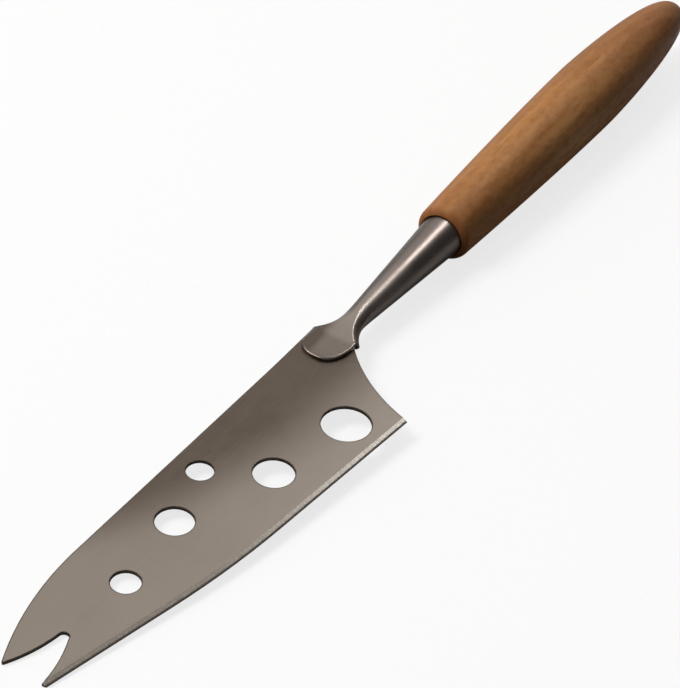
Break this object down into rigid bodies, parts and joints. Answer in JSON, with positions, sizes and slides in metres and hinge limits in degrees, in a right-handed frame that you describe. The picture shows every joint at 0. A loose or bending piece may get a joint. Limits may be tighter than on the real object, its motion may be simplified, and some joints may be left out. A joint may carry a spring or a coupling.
{
  "type": "cheese knife",
  "caption": "Knife with a perforated, slightly curved blade that ends in a two-pronged fork, welded to a tapered steel neck held in a turned wooden handle.",
  "frame": {"origin": "under the middle of the knife's box, level with the lowest point of the wooden handle; the blade is parallel to the XY plane", "axes": "+X from the pommel to the forked tip, +Y from the spine to the cutting edge, +Z out of the face that carries the lapped tongue"},
  "size_m": [0.2782, 0.0351, 0.0178],
  "materials": {
    "blade": "satin rolled stainless sheet, ground along the cutting edge",
    "neck": "forged and polished stainless steel",
    "tang": "plain turned steel, hidden",
    "handle": "turned hardwood, oiled to a soft sheen",
    "handle_glue": "cured epoxy glue, hidden",
    "spot_welds": "fused weld metal, hidden"
  },
  "bodies": {
    "root": {"blade": "blade", "neck": "neck", "tang": "tang", "handle": "handle", "handle_glue": "handle_glue", "spot_welds": "spot_welds"}
  },
  "joints": []
}
